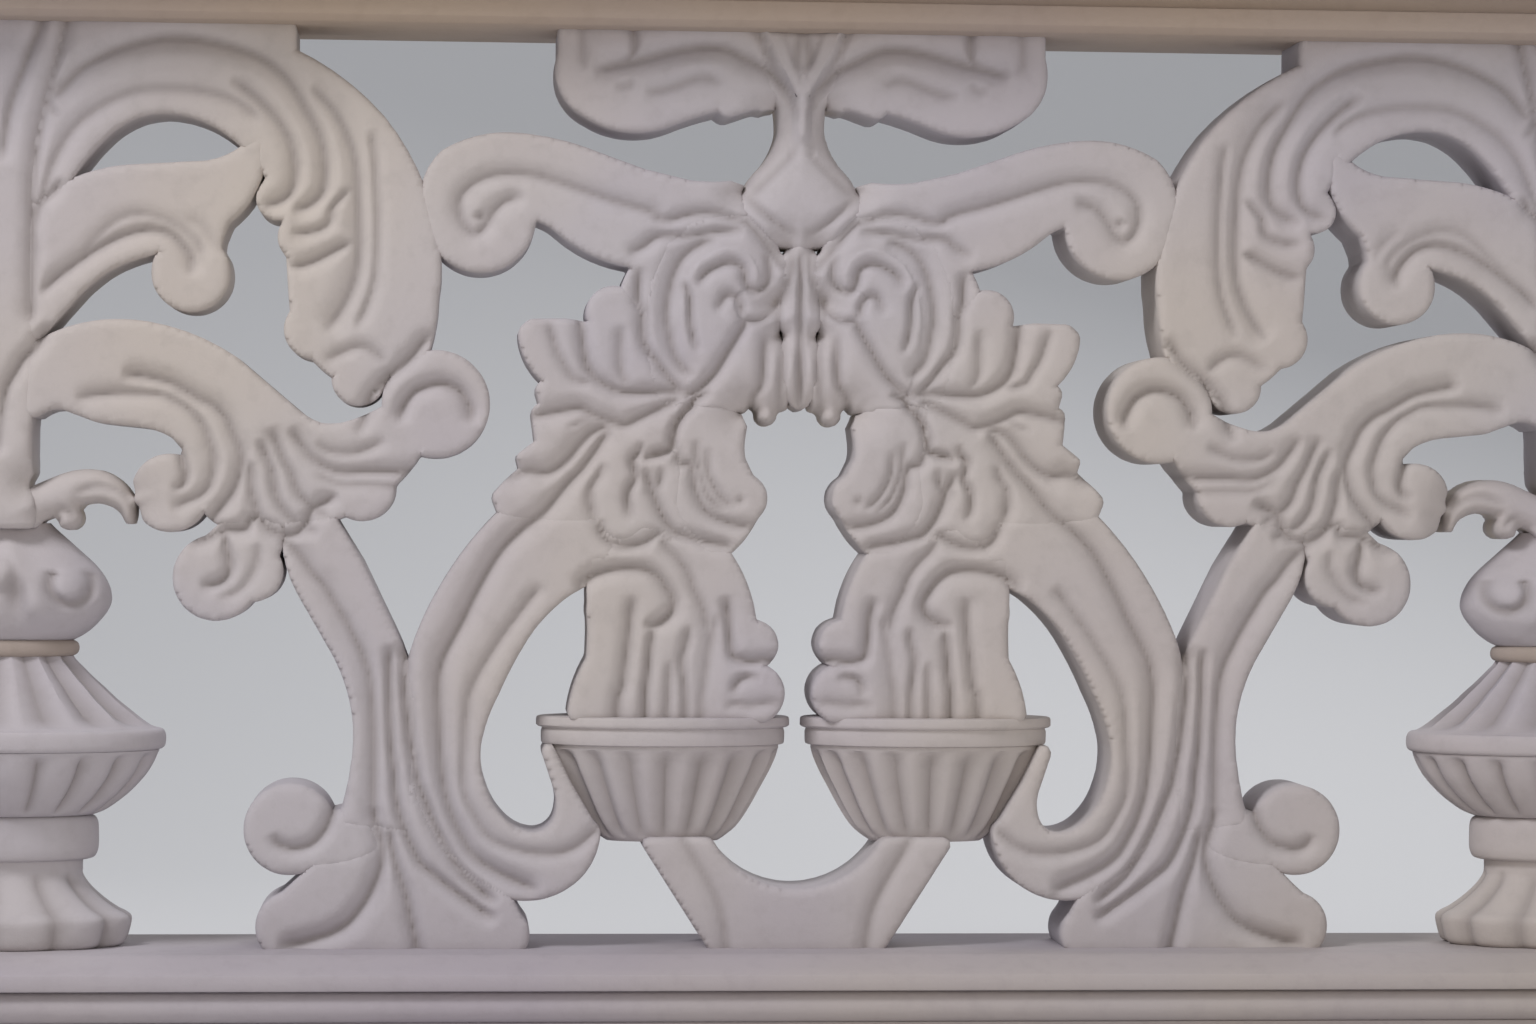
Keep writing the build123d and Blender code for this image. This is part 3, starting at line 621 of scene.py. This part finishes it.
# Heart scrolls: a pair of C-scrolls of carved stone beside the rib, in raised rings round a
# hollow with a small ball. Two long drops hang from them over the middle opening.
blank("heart_scrolls", "carved_heart_scrolls")
cut("centre", [
    (6, 8, [(118, 548), (102, 540), (85, 544), (72, 546), (60, 545), (52, 542), (42, 539), (34, 532),
            (26, 522), (20, 514), (12, 506), (6, 497)]),
    (7, 8, [(121, 505), (121, 495), (121, 481), (118, 470), (118, 457), (115, 445), (106, 434), (97, 422),
            (88, 413), (80, 410)]),
    (7, 12, [(62, 528), (76, 522), (87, 514), (94, 502), (98, 487), (100, 470), (98, 457), (94, 440),
             (87, 430), (78, 424)]),
    (6, 5, [(88, 497), (83, 482), (82, 464), (79, 449), (75, 441)]),
    (7, 7, [(78, 490), (72, 500), (63, 506), (53, 509), (44, 505), (41, 494), (36, 488), (29, 490),
            (24, 497), (24, 508), (28, 518)]),
    (6, 7, [(64, 470), (58, 482), (53, 485), (47, 482), (44, 473), (47, 464)]),
    (6, 7, [(50, 466), (45, 466), (33, 466), (26, 469), (18, 476), (12, 487), (8, 496), (6, 510), (7, 520)]),
    (8, 8, [(38, 472), (45, 458), (54, 443), (63, 428), (72, 418), (80, 412), (90, 406)]),
    (6, 7, [(17, 470), (14, 450), (14, 430), (15, 410), (15, 396)]),
    (7, 8, [(26, 458), (27, 440), (29, 419), (35, 409), (36, 392), (36, 376), (36, 364)]),
])

# Leaf curls: a leaf on each side of the middle opening, carved in the slab. It hangs down and
# rolls inwards in fine folds.
blank("leaf_curls", "carved_leaf_curls")
cut("centre", [
    (10, 6, [(66, 414), (78, 408), (81, 403), (87, 397), (92, 389), (95, 380), (96, 371), (101, 368),
             (112, 365), (118, 361)]),
    (8, 8, [(118, 356), (112, 345), (107, 332), (101, 319), (92, 308), (82, 305), (70, 302), (58, 300),
            (46, 298)]),
    (7, 8, [(94, 374), (90, 361), (82, 358), (79, 350), (78, 341), (73, 329), (67, 322), (57, 317),
            (45, 314), (30, 314)]),
    (5, 6, [(78, 378), (77, 368), (76, 359), (73, 347), (69, 337), (63, 329), (54, 323)]),
    (5, 6, [(70, 372), (69, 359), (67, 349), (61, 338), (55, 331), (46, 326)]),
    (4, 5, [(44, 332)]),
])

# Acanthus fans: a leaf of many lobes that spreads from the hoop's shoulder, carved in the
# slab, each lobe hollowed along its vein.
blank("acanthus_fans", "carved_acanthus_fans")
cut("centre", [
    (7, 8, [(150, 320), (147, 308), (140, 300), (128, 298), (116, 301), (106, 307), (98, 312)]),
    (5, 8, [(134, 462), (134, 449), (134, 434), (131, 422), (122, 416)]),
    (8, 9, [(164, 470), (163, 458), (161, 443), (158, 431), (152, 422), (141, 415), (131, 412), (116, 412),
            (104, 413), (92, 413), (80, 412)]),
    (5, 7, [(188, 464), (184, 452), (180, 440), (174, 430), (169, 422), (160, 419), (150, 420)]),
    (8, 10, [(220, 388), (206, 392), (192, 395), (178, 398), (164, 400), (153, 395), (143, 391), (131, 388),
             (122, 392), (112, 397), (98, 404), (86, 410)]),
    (4, 6, [(175, 385), (164, 389), (156, 393), (148, 395)]),
    (9, 12, [(224, 348), (212, 350), (201, 353), (189, 352), (180, 356), (171, 364), (164, 373), (155, 382),
             (146, 386), (134, 388)]),
    (6, 8, [(146, 362), (150, 350), (155, 342), (156, 332), (153, 320), (149, 312)]),
    (7, 6, [(118, 376), (120, 368), (125, 361), (122, 350), (125, 344), (128, 337), (127, 324), (122, 318)]),
    (6, 6, [(118, 342), (113, 339), (107, 341), (104, 348), (103, 358)]),
])

# Basket bowls: a stone basket cut in the round and flattened front to back. Gadroons are
# carved round it, and its foot is bedded on the bracket.
BASKET_AXIS = 0.099
BASKET_FLATNESS = 0.52
baskets = turn("basket_bowl_course", [(78, 42), (82, 48), (88, 55), (96, 61), (106, 67), (118, 73.5),
                                      (130, 80), (140, 84.5), (147, 86.5), (150, 86.5)],
               BASKET_AXIS, BASKET_FLATNESS, petals=18, cut=0.11, low=0.04, high=0.95, power=1.25)
settle(baskets, "basket_bowls", carved_stone)

# Basket rims: a flat band under a thin fillet that stands out a little over it, worked on the
# same stone as the bowl.
basket_rims = turn("basket_rim_course", [(150, 89), (150.6, 90.6), (152, 91.2), (156, 91.4), (160, 91.4),
                                         (161.4, 90.8), (162.4, 90.6), (163.2, 93.6), (164.4, 95), (166, 95),
                                         (169, 95), (170.4, 94.4), (171, 92.6)],
                   BASKET_AXIS, BASKET_FLATNESS, steps=1, rounds=128)
settle(basket_rims, "basket_rims", carved_stone)

# Plumes: drapery of carved stone that falls from the hoop's shoulder into the basket, with a
# hooked fold above and scalloped edges towards the middle.
blank("basket_plumes", "carved_plumes")
cut("centre", [
    (9, 9, [(168, 266), (156, 275), (149, 278), (138, 281), (125, 282), (113, 280), (104, 274), (97, 265),
            (93, 257), (95, 249), (101, 243), (109, 240), (116, 243)]),
    (6, 9, [(106, 308), (98, 296), (90, 288), (82, 277), (78, 266), (73, 256), (69, 244), (68, 230)]),
    (7, 9, [(125, 262), (125, 250), (127, 228), (129, 212), (131, 194), (134, 186), (135, 166), (135, 150)]),
    (7, 7, [(107, 240), (109, 235), (111, 220), (112, 205), (114, 190), (114, 164), (114, 150)]),
    (6, 7, [(82, 240), (84, 226), (87, 214), (85, 197), (84, 186), (84, 166), (84, 150)]),
    (5, 12, [(62, 250), (64, 238), (67, 220), (70, 198), (72, 182), (72, 166), (72, 150)]),
    (5, 7, [(96, 214), (97, 190), (98, 166), (98, 150)]),
    (8, 8, [(56, 262), (53, 248), (52, 236), (51, 226), (49, 217), (43, 214), (36, 213), (27, 214), (14, 213),
            (0, 213)]),
    (6, 6, [(28, 200), (36, 202), (44, 199), (48, 192), (45, 186)]),
    (4, 7, [(56, 176), (48, 181), (36, 180), (24, 182), (10, 182)]),
])

# Hoop arms: the arms of the hoop, carved in the slab from the shoulder out to the foot and
# back under the basket. Long flutes follow them and run together at the foot.
blank("hoop_arms", "carved_hoop_arms")
cut("centre", [
    (9, 11, [(140, 388), (150, 372), (157, 362), (164, 353), (171, 346), (180, 335), (190, 323),
             (205, 311), (220, 296), (232, 277), (242, 258), (249, 243), (257, 228), (264, 213),
             (267, 195), (266, 168), (265, 145), (263, 125), (260, 110), (255, 95), (249, 83), (242, 71),
             (232, 62), (220, 55), (205, 48), (190, 42)]),
    (5, 8, [(190, 270), (200, 258), (209, 246), (218, 234), (227, 220), (235, 207), (243, 190), (246, 173),
            (247, 152), (248, 130), (246, 112), (238, 96), (230, 84), (218, 76), (200, 71), (180, 70),
            (165, 75), (154, 84), (144, 94)]),
])

# Top arms: an arm of carved stone on each side, from the plate out to the arched leaf of the
# next bay, where it ends in a volute round a hollow.
blank("top_arms", "carved_top_arms")
cut("centre", [
    (6, 10, [(204, 556), (212, 555), (222, 551), (230, 542), (236, 532), (243, 528), (251, 536), (254, 548),
             (251, 558), (242, 566), (230, 571), (214, 573), (196, 571), (178, 566), (160, 560), (138, 553),
             (116, 547), (100, 541)]),
    (5, 13, [(240, 545), (236, 536)]),
    (6, 8, [(130, 514), (118, 520), (106, 528), (87, 528), (69, 531), (52, 533), (40, 534)]),
])

# Top leaves: a rolled leaf on each side of the centre stem, carved up to the bed moulding,
# with a hook beside the stem and a ball in its outer curl.
blank("top_leaves", "carved_top_leaves")
cut("centre", [
    (9, 12, [(156, 650), (146, 652), (140, 654), (127, 657), (115, 660), (101, 664), (88, 667), (73, 669),
             (58, 668), (47, 663), (35, 657), (23, 650), (15, 642), (8, 633), (4, 624)]),
    (7, 7, [(129, 704), (127, 690), (125, 671), (128, 660), (140, 654)]),
    (4, 8, [(164, 704), (164, 690), (164, 660), (160, 650)]),
    (4, 8, [(140, 639), (131, 639), (125, 645)]),
    (5, 9, [(118, 634), (104, 636), (92, 640), (80, 645), (70, 646), (60, 640)]),
])

# Bracket: a plain forked block of stone between the rail and the two baskets, which it
# carries. Its sides are splayed and its edges rounded.
blank("foot_bracket", "carved_bracket")
cut("centre", [
    (5, 10, [(90, 92), (80, 72), (66, 48), (56, 26), (52, 0), (52, -14)]),
])

# Relief of the slab, cut with a chisel on both faces once the pieces are set, so that the
# lines run on from piece to piece. Each face falls off towards the free edges and the lines,
# and each piece reaches under its neighbours where they meet.
LAP = 4.0
LAP_STARTS = 3.0
LAP_FULL = 9.0
LAP_SINK = 0.2
CROWNING = (3.0, 30.0)
ARRIS = (5.0, 6.0)
STROKE_REACH = 1.5
STROKE_FALL = 2.1
DIRT_AND_SHADE_REACH = 5.0
PAINTED_LIGHT_REACH = 9.0
WAVY_REACH = 5.0
THINNEST_HALF = 8.0
FACE_FROM = 0.76


def to_free_edge(point):
    """How far a place is from the nearest free edge, in mm."""
    return free_edges.find_nearest(Vector((point[0] / 1000, 0, point[2] / 1000)))[3] * 1000


for piece, half, tallest, rounding, drop in blanks:
    mesh = piece.data
    count = len(mesh.vertices)
    places = places_of(mesh) * 1000
    normals = np.empty(count * 3)
    mesh.vertices.foreach_get("normal", normals)
    normals = normals.reshape(-1, 3)
    places[:, 1] /= SQUEEZE
    flank = np.hypot(normals[:, 0], normals[:, 2])
    gap = np.array([to_free_edge(point) for point in places])
    joined = np.clip((gap - LAP_STARTS) / (LAP_FULL - LAP_STARTS), 0, 1)
    lap = np.where(flank > 0.3, LAP * flank * joined, 0)
    places[:, 0] += normals[:, 0] * lap
    places[:, 2] += normals[:, 2] * lap
    for i in np.nonzero(lap)[0]:
        gap[i] = to_free_edge(places[i])
    # The lines are given once, for half a hoop bay and half a vase, so each place is folded.
    x = VASE_AXIS * 1000 - np.abs(np.abs(places[:, 0]) - VASE_AXIS * 1000)
    z = places[:, 2] - RAIL_TOP * 1000
    fall = drop * np.clip(1 - gap / rounding, 0, 1) ** 2
    fall += ARRIS[0] * (1 - np.sqrt(1 - np.clip(1 - gap / ARRIS[1], 0, 1) ** 2))
    sunk = np.zeros(count)
    rib = np.zeros(count)
    groove = np.zeros(count)
    for depth, width, points in carving:
        reach = width * (STROKE_REACH if depth > 0 else 1)
        low = np.min(points, axis=0) - reach
        high = np.max(points, axis=0) + reach
        near = (x > low[0]) & (x < high[0]) & (z > low[1]) & (z < high[1])
        if not near.any():
            continue
        far, ends = stroke(x[near], z[near], points)
        share = np.clip(1 - far / reach, 0, 1)
        if depth > 0:
            sunk[near] = np.maximum(sunk[near], depth * share ** STROKE_FALL * ends)
            # Dirt with painted shade along each cut line, fading out within a few mm of it.
            dirt_and_shade_share = np.clip(1 - far / DIRT_AND_SHADE_REACH, 0, 1) * ends * min(depth / 7, 1)
            groove[near] = np.maximum(groove[near], dirt_and_shade_share)
        else:
            rib[near] = np.maximum(rib[near], -depth * share ** 2 * (3 - 2 * share) * ends)
    height = half + CROWNING[0] * np.clip(gap / CROWNING[1], 0, 1)
    height += rib - np.cbrt(fall ** 3 + sunk ** 3) - LAP_SINK * lap
    tool_marks = unevenness(26, 11)(places) * 0.35 + unevenness(9, 12)(places) * 0.12
    height += tool_marks
    height = np.clip(height, THINNEST_HALF, tallest - 0.2)
    towards_face = np.clip(np.abs(places[:, 1]) / half / FACE_FROM, 0, 1)
    places[:, 1] = np.sign(places[:, 1]) * towards_face * height
    wobble = unevenness(14, 13)(places) * 0.25 * (gap < WAVY_REACH)
    places[:, 0] += normals[:, 0] * wobble
    places[:, 2] += normals[:, 2] * wobble
    mesh.vertices.foreach_set("co", (places / 1000).ravel())
    # Painted warm light near the free edges and on the side walls, standing for bounce light and highlight.
    edge = np.exp(-gap / PAINTED_LIGHT_REACH) * np.clip(1.3 - towards_face, 0.25, 1)
    mark(mesh, np.clip(groove, 0, 1), edge)
    mesh.update()

# Bed moulding: a thin course of warmer stone laid on the openwork, which is carved up to it.
# Drips from the coping have browned it.
coping_stone = stone("coping_stone", (0.37, 0.31, 0.26), (0.42, 0.325, 0.24), (0.21, 0.165, 0.13))
bed_profile = [
    (57, 790), (60, 790.8), (65, 795), (66, 798), (66, 802), (66, 808), (65.4, 809.6), (64, 810),
    (57.5, 810.3), (56.2, 811), (56, 812.4), (56, 821.6), (55, 822),
]
bed = run_moulding("bed_course", bed_profile, worn=0.8)
settle(bed, "bed_moulding", coping_stone)

# Coping: the heavy capping stone, bedded on the moulding and holding the screen together. It
# has a throat under its edges that throws off the drips, and sloped sides above.
coping_profile = [
    (65, 822), (67, 823), (83, 835.4), (85, 836), (103, 836.3), (105, 837), (106, 839), (106, 854),
    (106, 868), (105, 871), (102, 873.4), (88, 884.6), (72, 897.2), (68, 899.6), (65, 900),
]
coping = run_moulding("coping_course", coping_profile, worn=1.2)
settle(coping, "coping", coping_stone)

# Floor of the studio: a wide sheet of pale paper that sweeps up behind the screen in a curve.
# It is clear from behind, so that the rear face can be looked at too.
PAPER_WIDTH = 24
PAPER_BACK = 4.8
PAPER_RISE = 7
PAPER_CURVE = 3
bpy.ops.mesh.primitive_plane_add(size=PAPER_WIDTH, location=(0, PAPER_BACK - PAPER_WIDTH / 2, 0))
floor = bpy.context.object
floor.name = "floor"
bpy.ops.object.transform_apply(location=True)


def pick_edges(mesh, wanted):
    """Selects the edges whose ends are both at places that are wanted."""
    bpy.ops.object.mode_set(mode="EDIT")
    bpy.ops.mesh.select_mode(type="EDGE")
    bpy.ops.mesh.select_all(action="DESELECT")
    bpy.ops.object.mode_set(mode="OBJECT")
    for edge in mesh.edges:
        edge.select = all(wanted(mesh.vertices[i].co) for i in edge.vertices)
    bpy.ops.object.mode_set(mode="EDIT")


pick_edges(floor.data, lambda place: place.y > PAPER_BACK - 0.1)
bpy.ops.mesh.extrude_region_move(TRANSFORM_OT_translate={"value": (0, 0, PAPER_RISE)})
pick_edges(floor.data, lambda place: place.y > PAPER_BACK - 0.1 and place.z < 0.1)
bpy.ops.mesh.bevel(offset=PAPER_CURVE, segments=24)
bpy.ops.object.mode_set(mode="OBJECT")
bpy.ops.object.shade_smooth()
floor_paint = bpy.data.materials.new("floor_paint")
floor_paint.use_nodes = True
paint_nodes = floor_paint.node_tree.nodes
paint_link = floor_paint.node_tree.links.new
paper = paint_nodes["Principled BSDF"]
paper.inputs["Base Color"].default_value = (0.74, 0.74, 0.75, 1)
paper.inputs["Roughness"].default_value = 0.9
facing = paint_nodes.new("ShaderNodeNewGeometry")
through = paint_nodes.new("ShaderNodeBsdfTransparent")
either = paint_nodes.new("ShaderNodeMixShader")
paint_link(facing.outputs["Backfacing"], either.inputs["Fac"])
paint_link(paper.outputs["BSDF"], either.inputs[1])
paint_link(through.outputs["BSDF"], either.inputs[2])
paint_link(either.outputs["Shader"], paint_nodes["Material Output"].inputs["Surface"])
floor.data.materials.append(floor_paint)


# Lamps of the studio: a soft key from the upper left, a weak fill from the right, a warm bounce
# from low in front and a lamp behind that lights the paper and the rear face.
def lamp(name, place, size, power, colour):
    """A soft square lamp that points at the middle of the screen."""
    light = bpy.data.lights.new(name, "AREA")
    light.size = size
    light.energy = power
    light.color = colour
    holder = bpy.data.objects.new(name, light)
    bpy.context.collection.objects.link(holder)
    holder.location = place
    ray = Vector((0, 0, 0.45)) - Vector(place)
    holder.rotation_euler = ray.to_track_quat("-Z", "Y").to_euler()


lamp("key", (-1.9, -1.4, 2.7), size=0.9, power=68, colour=(0.98, 0.98, 1.0))
lamp("fill", (2.6, -2.6, 1.5), size=2.0, power=14, colour=(0.94, 0.96, 1.0))
lamp("bounce", (0.2, -2.2, 0.6), size=1.0, power=11, colour=(1.0, 0.88, 0.72))
lamp("back", (1.2, 2.4, 2.4), size=2.0, power=30, colour=(1, 1, 1))

world = bpy.data.worlds.new("studio")
bpy.context.scene.world = world
world.use_nodes = True
world.node_tree.nodes["Background"].inputs["Color"].default_value = (0.74, 0.76, 0.80, 1)
world.node_tree.nodes["Background"].inputs["Strength"].default_value = 0.42

# Camera: a little left of the middle and level with the openwork, as the photo was taken, and
# turned by a hair about its own line of sight.
camera = bpy.data.objects.new("camera", bpy.data.cameras.new("camera"))
bpy.context.collection.objects.link(camera)
camera.location = (-0.256, -3.0, 0.434)
camera.data.lens = 93.9
camera.data.sensor_width = 36
sight = Vector((-0.021, 0, 0.434)) - camera.location
camera.rotation_euler = sight.to_track_quat("-Z", "Y").to_euler()
camera.rotation_euler.rotate_axis("Z", math.radians(0.4))
bpy.context.scene.camera = camera
bpy.context.scene.view_settings.view_transform = "Standard"
